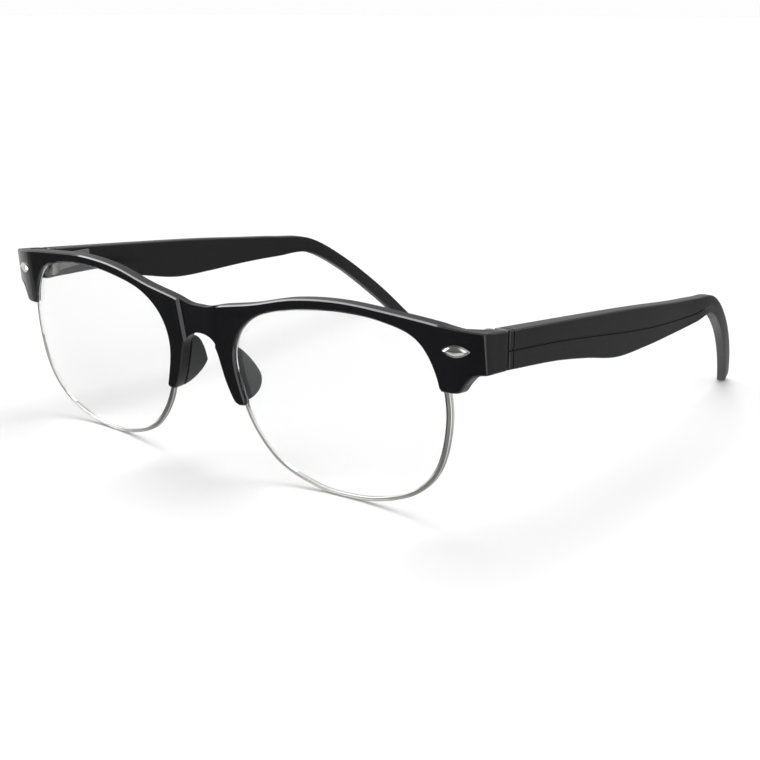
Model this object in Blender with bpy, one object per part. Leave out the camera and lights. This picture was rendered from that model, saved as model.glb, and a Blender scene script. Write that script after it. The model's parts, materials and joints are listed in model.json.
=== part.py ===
"""Half rim (browline) eyeglasses with folding temples, standing on their rims and temple tips.

A one-piece black front carries the brow bars, the bridge, the two nose legs and the end pieces. A metal
rim wire runs round each lens and sits in a groove of the front. Nose pads, almond studs, three-barrel
hinges and paddle-shaped temples complete it. +X is the wearer's left, -Y is forward, +Z is up.

The front is drawn flat, in across / depth / height coordinates, then wrapped round the face and leaned.
"""

import math

import bmesh
import bpy
from mathutils import Vector

MM = 0.001

# Lenses and rims
LENS_WIDTH = 53.2 * MM
LENS_HEIGHT = 39.5 * MM
LENS_SPACING = 72.2 * MM
LENS_EDGE = 1.2 * MM
LENS_FRONT_BULGE = 1.2 * MM
LENS_REAR_BULGE = 0.6 * MM
RIM_RADIAL = 0.9 * MM
RIM_DEPTH = 1.0 * MM
RIM_CHANNEL_DEPTH = 0.4 * MM
RIM_CHANNEL_WIDTH = 0.6 * MM

# Front
FRONT_FACE = 1.6 * MM
FRONT_THICKNESS = 2.6 * MM
FRONT_EDGE_BEVEL = 0.28 * MM
LIP_SIDE = 1.0 * MM
LIP_TOP = 0.25 * MM
BROW_HEIGHT = 1.8 * MM
BRIDGE_TOP = 14.95 * MM
LEG_DROP = 5.2 * MM
END_OUTREACH = 33.75 * MM
END_HEIGHT = 8.0 * MM
END_TOP = 18.0 * MM
LOBE_DROP = 3.8 * MM
WRAP_ANGLE = math.radians(4.0)
WRAP_BRIDGE = 8.0 * MM
SWEEP_START = 24.0 * MM
SWEEP_RATE = 26.0
FRONT_LEAN = math.radians(4.75)
PANEL_RECESS = 0.7 * MM
PANEL_TOP_HALF = 6.1 * MM
PANEL_LOW_HALF = 4.9 * MM

# End pieces and hinges
END_LENGTH = 6.7 * MM
END_FLARE = 0.1 * MM
END_SINK = 0.39 * MM
END_WALL = 2.4 * MM
JOINT_GAP = 0.3 * MM
HINGE_SETBACK = 0.3 * MM
KNUCKLE_RADIUS = 1.3 * MM
KNUCKLE_HEIGHT = 1.7 * MM
PIN_RADIUS = 0.6 * MM
LEAF_THICKNESS = 0.75 * MM
TEMPLE_LEAF_LENGTH = 9.0 * MM
LEAF_RIVET_RADIUS = 0.7 * MM

# Temples
TEMPLE_LENGTH = 127.4 * MM
TEMPLE_THICKNESS = 3.6 * MM
TEMPLE_TIP_THICKNESS = 2.3 * MM
TEMPLE_FRONT_HEIGHT = 7.7 * MM
TEMPLE_WIDE_HEIGHT = 10.0 * MM
TEMPLE_TIP_HEIGHT = 3.7 * MM
TEMPLE_TAPER_IN = 0.8 * MM
TEMPLE_TIP_INSET = 14.5 * MM
TEMPLE_GROOVE = 0.25 * MM

# Nose pads and studs
PAD_REACH = 6.6 * MM
PAD_THICKNESS = 2.2 * MM
PAD_TOP = 7.0 * MM
PAD_BOTTOM = -5.0 * MM
PAD_SAG = 1.7 * MM
STUD_WIDTH = 5.3 * MM
STUD_HEIGHT = 2.4 * MM
STUD_RISE = 0.55 * MM
STUD_INSET = 5.4 * MM
STUD_DROP = 3.45 * MM
STUD_PIN_RADIUS = 0.6 * MM
STUD_PIN_LENGTH = 2.4 * MM

# Clearances
FIT_GAP = 0.15 * MM
PIECE_GAP = 0.25 * MM
RUNNING_GAP = 0.08 * MM

LENS_CENTRE = LENS_SPACING / 2

# The rim's outline as shares of the lens half-width (towards the temple) and half-height (up).
RIM_SHAPE = [
    (0.975, 0.02), (0.935, 0.47), (0.77, 0.80), (0.45, 0.93), (0.05, 0.962), (-0.37, 0.908),
    (-0.70, 0.80), (-0.925, 0.59), (-1.02, 0.30), (-0.985, -0.05), (-0.86, -0.48), (-0.62, -0.83),
    (-0.28, -1.00), (0.02, -1.038), (0.36, -0.98), (0.68, -0.80), (0.885, -0.48),
]


def spline(points, steps, closed=False):
    """Catmull-Rom points through a few control points, steps to each stretch."""
    count = len(points)
    stretches = count if closed else count - 1
    curve = []
    for i in range(stretches):
        if closed:
            a, b, c, d = (points[(i + k) % count] for k in (-1, 0, 1, 2))
        else:
            a, b, c, d = (points[min(max(i + k, 0), count - 1)] for k in (-1, 0, 1, 2))
        for s in range(steps):
            t = s / steps
            curve.append(tuple(
                0.5 * (2 * q + (r - p) * t + (2 * p - 5 * q + 4 * r - u) * t * t
                       + (3 * q - p - 3 * r + u) * t ** 3)
                for p, q, r, u in zip(a, b, c, d)
            ))
    if not closed:
        curve.append(tuple(points[-1]))
    return curve


def wrap(across):
    """How far back the front stands at a distance from its middle."""
    reach = abs(across)
    bend = math.hypot(reach, WRAP_BRIDGE) - math.hypot(LENS_CENTRE, WRAP_BRIDGE)
    past = max(0.0, reach - LENS_CENTRE - SWEEP_START)
    return math.tan(WRAP_ANGLE) * bend + SWEEP_RATE * past * past


def rim_path():
    """The rim wire's centre line round the wearer's left lens, as (across, height)."""
    shape = spline(RIM_SHAPE, 4, closed=True)
    return [(LENS_CENTRE + u * LENS_WIDTH / 2, v * LENS_HEIGHT / 2) for u, v in shape]


def offset_path(path, distance):
    """A closed path moved inwards by a distance."""
    count = len(path)
    moved = []
    for i in range(count):
        (x0, y0), (x1, y1) = path[i - 1], path[(i + 1) % count]
        run = math.hypot(x1 - x0, y1 - y0)
        moved.append((path[i][0] - (y1 - y0) / run * distance, path[i][1] + (x1 - x0) / run * distance))
    return moved


def lean(depth, height):
    """Depth and height in the leaned front as world (y, z) from the front's own origin."""
    turn = math.sin(FRONT_LEAN)
    return depth * math.cos(FRONT_LEAN) - height * turn, depth * turn + height * math.cos(FRONT_LEAN)


def unlean(y, z):
    """The reverse of lean."""
    turn = math.sin(FRONT_LEAN)
    return y * math.cos(FRONT_LEAN) + z * turn, z * math.cos(FRONT_LEAN) - y * turn


def lens_centre_height():
    """The height of the lens centres when the rims stand on the table."""
    lowest = 0.0
    for across, height in offset_path(rim_path(), -RIM_RADIAL / 2):
        for depth in (-RIM_DEPTH / 2, RIM_DEPTH / 2):
            lowest = min(lowest, lean(wrap(across) + depth, height)[1])
    return -lowest


CENTRE_HEIGHT = lens_centre_height()
CORNER_X = LENS_CENTRE + END_OUTREACH
SIDE_X = CORNER_X + END_FLARE
CORNER_DEPTH = wrap(CORNER_X) - FRONT_FACE
CORNER_Y = lean(CORNER_DEPTH, END_TOP - END_HEIGHT / 2)[0]
SPLIT_Y = CORNER_Y + END_LENGTH
SPLIT_TOP = lean(CORNER_DEPTH, END_TOP)[1] - 0.6 * MM
SPLIT_BOTTOM = SPLIT_TOP - TEMPLE_FRONT_HEIGHT
SPLIT_MIDDLE = (SPLIT_TOP + SPLIT_BOTTOM) / 2
TEMPLE_START_Y = SPLIT_Y + JOINT_GAP
HINGE_X = SIDE_X - TEMPLE_THICKNESS - KNUCKLE_RADIUS
HINGE_Y = TEMPLE_START_Y + HINGE_SETBACK
HINGE_Z = CENTRE_HEIGHT + SPLIT_MIDDLE
STUD_ACROSS = CORNER_X - STUD_INSET
STUD_HEIGHT_UP = END_TOP - STUD_DROP


def material(name, colour, roughness, metallic=0.0, transmission=0.0):
    """A plain Principled material for one kind of piece."""
    made = bpy.data.materials.new(name)
    made.use_nodes = True
    shader = made.node_tree.nodes["Principled BSDF"]
    shader.inputs["Base Color"].default_value = (*colour, 1.0)
    shader.inputs["Roughness"].default_value = roughness
    shader.inputs["Metallic"].default_value = metallic
    shader.inputs["Transmission Weight"].default_value = transmission
    return made


def finish(bm, name, look, parent=None, smooth=True):
    """Turn a bmesh into a named object with its material."""
    bmesh.ops.recalc_face_normals(bm, faces=bm.faces)
    mesh = bpy.data.meshes.new(name)
    bm.to_mesh(mesh)
    bm.free()
    mesh.materials.append(look)
    if smooth:
        mesh.shade_smooth()
        mesh.set_sharp_from_angle(angle=math.radians(32))
    made = bpy.data.objects.new(name, mesh)
    bpy.context.scene.collection.objects.link(made)
    made.parent = parent
    return made


def skin(bm, rings, closed=False):
    """Quads between rings of equal count, capped at both ends unless the rings close on each other."""
    rows = [[bm.verts.new(co) for co in ring] for ring in rings]
    pairs = list(zip(rows, rows[1:]))
    if closed:
        pairs.append((rows[-1], rows[0]))
    for a, b in pairs:
        for i in range(len(a)):
            k = (i + 1) % len(a)
            bm.faces.new((a[i], a[k], b[k], b[i]))
    if not closed:
        bm.faces.new(rows[0])
        bm.faces.new(rows[-1])
    return rows


def wrap_mesh(bm):
    """Lay flat front geometry on the wrapped front."""
    for vert in bm.verts:
        vert.co.y += wrap(vert.co.x)


def mirror_mesh(bm, side):
    """Turn a piece of the wearer's left side into one of the given side."""
    if side < 0:
        for vert in bm.verts:
            vert.co.x = -vert.co.x
        bmesh.ops.reverse_faces(bm, faces=bm.faces)


def cut(piece, cutter, operation="DIFFERENCE"):
    """Cut a piece with a hidden cutter, or join one to it."""
    cutter.hide_render = True
    cutter.display_type = "WIRE"
    step = piece.modifiers.new(cutter.name, "BOOLEAN")
    step.operation = operation
    step.object = cutter


def cylinder(bm, centre, radius, height, segments=24, axis="Z"):
    """A capped cylinder along Z or Y."""
    made = bmesh.ops.create_cone(
        bm, cap_ends=True, segments=segments, radius1=radius, radius2=radius, depth=height
    )["verts"]
    for vert in made:
        x, y, z = vert.co
        vert.co = Vector(centre) + (Vector((x, y, z)) if axis == "Z" else Vector((x, z, -y)))
    return made


def box(bm, low, high):
    """A block between two corners."""
    made = bmesh.ops.create_cube(bm, size=1.0)["verts"]
    for vert in made:
        vert.co = Vector(l + (h - l) * (c + 0.5) for c, l, h in zip(vert.co, low, high))
    return made


# The front

def opening_edge():
    """The lens opening's visible edge, from the leg's foot over the top to the lobe, as (across, height)."""
    narrow = 1 - 2 * LIP_SIDE / LENS_WIDTH
    low = 1 - 2 * LIP_TOP / LENS_HEIGHT
    shape = spline(RIM_SHAPE, 5, closed=True)
    path = [(LENS_CENTRE + u * narrow * LENS_WIDTH / 2, v * low * LENS_HEIGHT / 2) for u, v in shape]
    lobe_end = END_TOP - END_HEIGHT - LOBE_DROP
    temple_side = [p for p in path if p[0] > LENS_CENTRE and p[1] > lobe_end + 0.5 * MM]
    nose_side = [p for p in path if p[0] <= LENS_CENTRE and p[1] > 0.6 * MM - LEG_DROP]
    temple_side.sort(key=lambda p: math.atan2(p[1], p[0] - LENS_CENTRE))
    nose_side.sort(key=lambda p: math.atan2(p[1], p[0] - LENS_CENTRE) % (2 * math.pi))
    return (temple_side + nose_side)[::-1]


def front_outline():
    """The wearer's left half of the front, from the bridge's top round to its underside."""
    crest = LENS_HEIGHT / 2 * 0.962 + BROW_HEIGHT
    brow = spline([
        (0.0, BRIDGE_TOP), (3.0 * MM, BRIDGE_TOP + 0.12 * MM),
        (7.5 * MM, BRIDGE_TOP + 1.2 * MM), (LENS_CENTRE - 20 * MM, crest - 3.2 * MM),
        (LENS_CENTRE - 9 * MM, crest - 0.8 * MM), (LENS_CENTRE + 3 * MM, crest),
        (LENS_CENTRE + 17 * MM, crest - 0.9 * MM), (CORNER_X - 8 * MM, END_TOP + 1.05 * MM),
        (CORNER_X, END_TOP),
    ], 3)
    corner_low = END_TOP - END_HEIGHT
    opening = opening_edge()
    lobe_x = opening[-1][0]
    lobe_low = corner_low - LOBE_DROP
    lobe = spline([
        (CORNER_X, corner_low), (CORNER_X - 2.3 * MM, corner_low - 0.3 * MM),
        (CORNER_X - 3.7 * MM, corner_low - 1.7 * MM), (CORNER_X - 4.9 * MM, lobe_low + 0.35 * MM),
        (CORNER_X - 6.1 * MM, lobe_low), (lobe_x + 0.45 * MM, lobe_low + 0.05 * MM),
    ], 2)
    foot_x, foot_z = opening[0]
    leg = spline([
        (foot_x - 0.4 * MM, foot_z - 0.55 * MM), (foot_x - 1.9 * MM, -LEG_DROP),
        (foot_x - 3.2 * MM, 0.9 * MM - LEG_DROP), (7.0 * MM, -0.6 * MM), (6.0 * MM, 2.6 * MM),
        (5.1 * MM, 5.6 * MM), (3.9 * MM, 7.6 * MM), (2.1 * MM, 8.7 * MM), (0.0, 9.0 * MM),
    ], 2)
    return brow + lobe + opening[::-1] + leg


def split_depth(across, height):
    """The flat depth at which the end piece meets the upright split plane."""
    return (SPLIT_Y + height * math.sin(FRONT_LEAN)) / math.cos(FRONT_LEAN) - wrap(across)


def cut_lengthways(bm, spots, axis):
    """Cut a flat mesh across at each spot, so that it can follow the wrap."""
    normal = Vector((1, 0, 0)) if axis == "X" else Vector((0, 0, 1))
    for spot in spots:
        bmesh.ops.bisect_plane(
            bm, geom=bm.verts[:] + bm.edges[:] + bm.faces[:], dist=1e-7, plane_co=normal * spot, plane_no=normal
        )


def grow_end_piece(bm, side):
    """Draw the end piece's rear wall back to the split plane in three steps."""
    rear = FRONT_THICKNESS - FRONT_FACE
    inner_x = CORNER_X - 4.8 * MM
    low = END_TOP - END_HEIGHT - END_SINK
    band = [
        f for f in bm.faces
        if all(side * v.co.x > inner_x - 1e-6 and abs(v.co.y - rear) < 1e-6 and v.co.z > low - 1e-6 for v in f.verts)
    ]
    start = {}
    for step, (share, narrowing) in enumerate(((0.15, 0.8), (0.4, 1.0), (1.0, 1.0))):
        grown = bmesh.ops.extrude_face_region(bm, geom=band)["geom"]
        bmesh.ops.delete(bm, geom=band, context="FACES_ONLY")
        band = [g for g in grown if isinstance(g, bmesh.types.BMFace)]
        for vert in {v for f in band for v in f.verts}:
            if step == 0:
                home = vert.co.copy()
            else:
                home = start[min(start, key=lambda k: (Vector(k) - vert.co).length)]
            reach = side * home.x
            out = (reach - inner_x) / (CORNER_X - inner_x)
            wide = SIDE_X - CORNER_X
            inner_move = (SIDE_X - END_WALL - inner_x) * narrowing
            x = reach + (1 - out) * inner_move + out * wide * share
            top_home = max(end_top_at(reach) - END_SINK, home.z)
            up = (home.z - low) / (top_home - low)
            end_low = unlean(SPLIT_Y, SPLIT_BOTTOM)[1]
            end_high = unlean(SPLIT_Y, SPLIT_TOP)[1]
            z = home.z + (end_low + (end_high - end_low) * up - home.z) * share
            y = rear + (split_depth(x, z) - rear) * share
            place = Vector((side * x, y, z))
            start_key = tuple(place)
            vert.co = place
            start[start_key] = home
    return band


def end_top_at(reach):
    """The brow's top line over the end piece."""
    return END_TOP + 1.05 * MM * (CORNER_X - reach) / (8 * MM)


def make_front(look, parent):
    """The black front: brow bars, bridge, legs, end pieces and lobes."""
    half = front_outline()
    outline = half + [(-x, z) for x, z in reversed(half[1:-1])]
    bm = bmesh.new()
    ring = [bm.verts.new((x, -FRONT_FACE, z)) for x, z in outline]
    face = bm.faces.new(ring)
    grown = bmesh.ops.extrude_face_region(bm, geom=[face])["geom"]
    bmesh.ops.translate(
        bm, vec=(0, FRONT_THICKNESS, 0), verts=[g for g in grown if isinstance(g, bmesh.types.BMVert)]
    )
    inner_x = CORNER_X - 4.8 * MM
    stations = [k * 4.0 * MM for k in range(-14, 15)] + [s * inner_x for s in (-1, 1)]
    cut_lengthways(bm, stations, "X")
    low = END_TOP - END_HEIGHT
    ends = [f for f in bm.faces if abs(f.calc_center_median().x) > inner_x]
    geom = {g for f in ends for g in (*f.verts, *f.edges)} | set(ends)
    bmesh.ops.bisect_plane(bm, geom=list(geom), dist=1e-7, plane_co=(0, 0, low), plane_no=(0, 0, 1))
    for vert in bm.verts:
        if vert.co.y > 0:
            vert.co.z -= END_SINK * min(1.0, max(0.0, (abs(vert.co.x) - CORNER_X + 9 * MM) / (4 * MM)))
    for side in (1, -1):
        grow_end_piece(bm, side)
    bmesh.ops.recalc_face_normals(bm, faces=bm.faces)
    sharp = [e for e in bm.edges if e.is_manifold and e.calc_face_angle() > math.radians(50)]
    bmesh.ops.bevel(
        bm, geom=sharp, offset=FRONT_EDGE_BEVEL, offset_type="OFFSET", segments=1, profile=0.5,
        affect="EDGES", clamp_overlap=True, material=-1,
    )
    bmesh.ops.triangulate(bm, faces=bm.faces)
    wrap_mesh(bm)
    return finish(bm, "front_frame", look, parent)


def make_groove_cutter(side, look, parent):
    """The groove that the rim wire sits in, open to the rear inside the wire's inner edge."""
    path = rim_path()
    outer = offset_path(path, -RIM_RADIAL / 2 - FIT_GAP)
    edge = offset_path(path, RIM_RADIAL / 2)
    inner = offset_path(path, 2.6 * MM)
    half = RIM_DEPTH / 2 + FIT_GAP
    rear = FRONT_THICKNESS + 1 * MM
    bm = bmesh.new()
    rings = []
    for (xo, zo), (xe, ze), (xi, zi) in zip(outer, edge, inner):
        rings.append([Vector(co) for co in (
            (xo, -half, zo), (xo, half, zo), (xe, half, ze), (xe, rear, ze), (xi, rear, zi), (xi, -half, zi),
        )])
    skin(bm, rings, closed=True)
    wrap_mesh(bm)
    mirror_mesh(bm, side)
    return finish(bm, f"rim_groove_cutter_{side_name(side)}", look, parent, smooth=False)


def make_panel_cutter(look, parent):
    """The recessed panel in the bridge's face."""
    low, high = 4.0 * MM, BRIDGE_TOP + 3.0 * MM
    front = -FRONT_FACE - 1.5 * MM
    floor = -FRONT_FACE + PANEL_RECESS
    slant = 0.45 * MM
    bm = bmesh.new()
    rings = []
    for z, half in ((low, PANEL_LOW_HALF - 0.4 * MM), (high, PANEL_TOP_HALF + 0.3 * MM)):
        spread = slant * (floor - front) / PANEL_RECESS
        rings.append([
            Vector((-half + slant, floor, z)), Vector((half - slant, floor, z)),
            Vector((half - slant + spread, front, z)), Vector((-half + slant - spread, front, z)),
        ])
    skin(bm, rings)
    cut_lengthways(bm, [-3 * MM, 0.0, 3 * MM], "X")
    wrap_mesh(bm)
    return finish(bm, "bridge_panel_cutter", look, parent, smooth=False)


def side_name(side):
    return "left" if side > 0 else "right"


def make_rim(side, look, parent):
    """The metal rim wire: a closed ring with a channel for the lens."""
    path = rim_path()
    outer = offset_path(path, -RIM_RADIAL / 2)
    inner = offset_path(path, RIM_RADIAL / 2)
    floor = offset_path(path, RIM_RADIAL / 2 - RIM_CHANNEL_DEPTH)
    half = RIM_DEPTH / 2
    slot = RIM_CHANNEL_WIDTH / 2
    soft = 0.2 * MM
    bm = bmesh.new()
    rings = []
    for (xo, zo), (xi, zi), (xf, zf) in zip(outer, inner, floor):
        ratio = soft / RIM_RADIAL
        xs, zs = xo + (xi - xo) * ratio, zo + (zi - zo) * ratio
        rings.append([Vector(co) for co in (
            (xo, soft - half, zo), (xo, half - soft, zo), (xs, half, zs), (xi, half, zi), (xi, slot, zi),
            (xf, slot * 0.8, zf), (xf, -slot * 0.8, zf), (xi, -slot, zi), (xi, -half, zi), (xs, -half, zs),
        )])
    skin(bm, rings, closed=True)
    wrap_mesh(bm)
    mirror_mesh(bm, side)
    return finish(bm, f"rim_wire_{side_name(side)}", look, parent)


def make_lens(side, look, parent):
    """A clear lens with a tongue round its edge that enters the rim's channel."""
    path = rim_path()
    body = offset_path(path, RIM_RADIAL / 2 + FIT_GAP)
    tongue = offset_path(path, RIM_RADIAL / 2 - RIM_CHANNEL_DEPTH + FIT_GAP)
    half = LENS_EDGE / 2
    thin = RIM_CHANNEL_WIDTH / 2 - FIT_GAP
    shares = (1.0, 0.85, 0.6, 0.3)
    bm = bmesh.new()
    rings = []
    for share in reversed(shares):
        depth = -half - LENS_FRONT_BULGE * (1 - share * share)
        rings.append([Vector((LENS_CENTRE + (x - LENS_CENTRE) * share, depth, z * share)) for x, z in body])
    rings.append([Vector((x, -thin, z)) for x, z in body])
    rings.append([Vector((x, -thin * 0.7, z)) for x, z in tongue])
    rings.append([Vector((x, thin * 0.7, z)) for x, z in tongue])
    rings.append([Vector((x, thin, z)) for x, z in body])
    for share in shares:
        depth = half - LENS_REAR_BULGE * (1 - share * share)
        rings.append([Vector((LENS_CENTRE + (x - LENS_CENTRE) * share, depth, z * share)) for x, z in body])
    skin(bm, rings)
    wrap_mesh(bm)
    mirror_mesh(bm, side)
    return finish(bm, f"lens_{side_name(side)}", look, parent)


def make_pad(side, look, parent):
    """A nose pad: a thin D-shaped wing behind the leg."""
    rear = FRONT_THICKNESS - FRONT_FACE + PIECE_GAP
    middle = (PAD_TOP + PAD_BOTTOM) / 2 - PAD_SAG
    bm = bmesh.new()
    rings = []
    for k in range(9):
        share = math.sin(math.pi / 2 * k / 8)
        open_share = math.sqrt(max(1 - share * share, 0.02))
        depth = rear + PAD_REACH * share
        top = middle + (PAD_TOP - middle) * (0.25 + 0.75 * open_share) * open_share
        bottom = middle + (PAD_BOTTOM - middle) * open_share
        thick = PAD_THICKNESS * (0.35 + 0.65 * open_share)
        ring = []
        for j in range(20):
            turn = 2 * math.pi * j / 20
            up = math.copysign(abs(math.sin(turn)) ** 0.8, math.sin(turn))
            z = (top + bottom) / 2 + (top - bottom) / 2 * up
            nasal = 6.85 * MM - 0.34 * z + 1.2 * MM * share
            x = nasal + thick / 2 + thick / 2 * math.copysign(abs(math.cos(turn)) ** 0.7, math.cos(turn))
            ring.append(Vector((x, depth, z)))
        rings.append(ring)
    skin(bm, rings)
    wrap_mesh(bm)
    mirror_mesh(bm, side)
    return finish(bm, f"nose_pad_{side_name(side)}", look, parent)


def make_stud(side, look, parent):
    """An almond stud with a level ridge, on a pin that enters the end piece."""
    base = -FRONT_FACE - 0.1 * MM
    foot = -FRONT_FACE - PIECE_GAP / 2
    count = 12
    bm = bmesh.new()
    lower = []
    for k in range(count):
        turn = 2 * math.pi * k / count
        across = math.cos(turn)
        up = math.copysign((1 - abs(across)) * (1 + 0.9 * abs(across)), math.sin(turn))
        lower.append((STUD_WIDTH / 2 * across, STUD_HEIGHT / 2 * up))
    ridge = [(x * 0.82, z * 0.12) for x, z in lower]
    rings = []
    for depth, shape in ((foot, lower), (foot - 0.12 * MM, lower), (base - STUD_RISE, ridge)):
        rings.append([Vector((STUD_ACROSS + x, depth, STUD_HEIGHT_UP + z)) for x, z in shape])
    skin(bm, rings)
    wrap_mesh(bm)
    mirror_mesh(bm, side)
    stud = finish(bm, f"end_stud_{side_name(side)}", look, parent)
    pin = make_stud_pin(side, STUD_PIN_RADIUS, STUD_PIN_LENGTH, f"stud_pin_guide_{side_name(side)}", look, parent)
    cut(stud, pin, "UNION")
    return stud


def make_stud_pin(side, radius, length, name, look, parent):
    """The round pin behind the stud, or the hole for it."""
    bm = bmesh.new()
    start = wrap(STUD_ACROSS) - FRONT_FACE - 0.3 * MM
    centre = (STUD_ACROSS, start + length / 2, STUD_HEIGHT_UP)
    cylinder(bm, centre, radius, length, segments=16, axis="Y")
    mirror_mesh(bm, side)
    return finish(bm, name, look, parent, smooth=False)


# Hinges, in world coordinates about an empty on each pin axis

def make_front_leaf(side, look, parent):
    """The front hinge leaf: a plate inside the end piece with the upper and lower knuckles."""
    wall_x = SIDE_X - END_WALL - PIECE_GAP - HINGE_X
    offset = KNUCKLE_HEIGHT + RUNNING_GAP
    bm = bmesh.new()
    box(bm, (wall_x - LEAF_THICKNESS, -3.6 * MM, -offset - KNUCKLE_HEIGHT / 2),
        (wall_x, -1.1 * MM, offset + KNUCKLE_HEIGHT / 2))
    mirror_mesh(bm, side)
    leaf = finish(bm, f"hinge_front_leaf_{side_name(side)}", look, parent, smooth=False)
    for tag, level in (("upper", offset), ("lower", -offset)):
        bm = bmesh.new()
        cylinder(bm, (0, 0, level), KNUCKLE_RADIUS, KNUCKLE_HEIGHT)
        mirror_mesh(bm, side)
        barrel = finish(bm, f"{tag}_knuckle_guide_{side_name(side)}", look, parent, smooth=False)
        bm = bmesh.new()
        box(bm, (0.1 * MM, -2.2 * MM, level - KNUCKLE_HEIGHT / 2 + 0.02 * MM),
            (wall_x - LEAF_THICKNESS / 2, -0.45 * MM, level + KNUCKLE_HEIGHT / 2 - 0.02 * MM))
        mirror_mesh(bm, side)
        neck = finish(bm, f"{tag}_neck_guide_{side_name(side)}", look, parent, smooth=False)
        cut(leaf, neck, "UNION")
        cut(leaf, barrel, "UNION")
    bore = make_bore(side, look, parent, f"front_bore_cutter_{side_name(side)}", PIN_RADIUS + RUNNING_GAP)
    cut(leaf, bore)
    return leaf


def make_bore(side, look, parent, name, radius):
    """A round cutter along the pin axis."""
    bm = bmesh.new()
    cylinder(bm, (0, 0, 0), radius, 12 * MM)
    return finish(bm, name, look, parent, smooth=False)


def make_temple_leaf(side, look, parent):
    """The temple hinge leaf: a plate on the temple's inner face with the middle knuckle."""
    face_x = SIDE_X - TEMPLE_THICKNESS - PIECE_GAP - HINGE_X
    bm = bmesh.new()
    box(bm, (face_x - LEAF_THICKNESS, 1.6 * MM, -2.4 * MM),
        (face_x, 1.6 * MM + TEMPLE_LEAF_LENGTH, 2.4 * MM))
    mirror_mesh(bm, side)
    leaf = finish(bm, f"hinge_temple_leaf_{side_name(side)}", look, parent, smooth=False)
    bm = bmesh.new()
    cylinder(bm, (0, 0, 0), KNUCKLE_RADIUS, KNUCKLE_HEIGHT)
    mirror_mesh(bm, side)
    barrel = finish(bm, f"middle_knuckle_guide_{side_name(side)}", look, parent, smooth=False)
    bm = bmesh.new()
    box(bm, (face_x - LEAF_THICKNESS * 0.9, 0.4 * MM, -KNUCKLE_HEIGHT / 2 + 0.02 * MM),
        (face_x - 0.05 * MM, 2.2 * MM, KNUCKLE_HEIGHT / 2 - 0.02 * MM))
    mirror_mesh(bm, side)
    neck = finish(bm, f"middle_neck_guide_{side_name(side)}", look, parent, smooth=False)
    cut(leaf, neck, "UNION")
    cut(leaf, barrel, "UNION")
    bore = make_bore(side, look, parent, f"temple_bore_cutter_{side_name(side)}", PIN_RADIUS + RUNNING_GAP)
    cut(leaf, bore)
    for k, spot in enumerate(rivet_spots()):
        bm = bmesh.new()
        cylinder(bm, (0, spot, 0), LEAF_RIVET_RADIUS + FIT_GAP, 8 * MM, axis="Y")
        for vert in bm.verts:
            x, y, z = vert.co
            vert.co = (y - spot, x + spot, z)
        hole = finish(bm, f"leaf_hole_cutter_{side_name(side)}_{k + 1}", look, parent, smooth=False)
        cut(leaf, hole)
    return leaf


def rivet_spots():
    """Distances of the two leaf rivets behind the pin axis."""
    return (3.4 * MM, 7.4 * MM)


def rivet_profile(face_x, grow):
    """Across and radius of a leaf rivet, from its head to the end of its shank."""
    radius = LEAF_RIVET_RADIUS + grow
    head = face_x - LEAF_THICKNESS - PIECE_GAP
    return [(head - 0.3 * MM, radius), (head, radius + 0.5 * MM), (head, radius), (face_x + 1.8 * MM, radius)]


def make_rivet(side, number, look, parent):
    """A rivet that holds the temple leaf: a domed head and a shank into the temple."""
    face_x = SIDE_X - TEMPLE_THICKNESS - PIECE_GAP - HINGE_X
    spot = rivet_spots()[number - 1]
    bm = bmesh.new()
    rings = []
    for across, radius in rivet_profile(face_x, 0.0):
        rings.append([
            Vector((across, spot + radius * math.cos(math.tau * k / 16), radius * math.sin(math.tau * k / 16)))
            for k in range(16)
        ])
    skin(bm, rings)
    mirror_mesh(bm, side)
    return finish(bm, f"leaf_rivet_{side_name(side)}_{number}", look, parent)


def make_hinge_screw(side, look, parent):
    """The hinge screw: a round head on the upper knuckle and a plain shank down the pin axis."""
    reach = KNUCKLE_HEIGHT * 1.5 + RUNNING_GAP
    bm = bmesh.new()
    rings = []
    for level, radius in (
        (-reach - 0.3 * MM, PIN_RADIUS), (reach + FIT_GAP, PIN_RADIUS), (reach + FIT_GAP, KNUCKLE_RADIUS - 0.15 * MM),
        (reach + 0.45 * MM, KNUCKLE_RADIUS - 0.15 * MM), (reach + 0.65 * MM, KNUCKLE_RADIUS - 0.45 * MM),
    ):
        rings.append([
            Vector((radius * math.cos(math.tau * k / 24), radius * math.sin(math.tau * k / 24), level))
            for k in range(24)
        ])
    skin(bm, rings)
    return finish(bm, f"hinge_screw_{side_name(side)}", look, parent)


# Temples

def temple_line():
    """Stations along the temple: share of its length, share of its start height, blade height, groove place."""
    wide, front, tip = TEMPLE_WIDE_HEIGHT, TEMPLE_FRONT_HEIGHT, TEMPLE_TIP_HEIGHT
    return spline([
        (0.0, 1.0, front, 0.5), (0.13, 0.96, front + 0.2 * MM, 0.51), (0.23, 0.918, wide - 1.2 * MM, 0.52),
        (0.325, 0.872, wide, 0.53), (0.42, 0.855, wide - 1.0 * MM, 0.47), (0.525, 0.841, wide - 2.8 * MM, 0.42),
        (0.625, 0.825, tip + 2.1 * MM, 0.40), (0.72, 0.795, tip + 0.5 * MM, 0.45), (0.815, 0.60, tip, 0.5),
        (0.91, 0.31, tip, 0.5), (0.985, 0.03, tip * 0.9, 0.5),
    ], 4)


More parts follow.
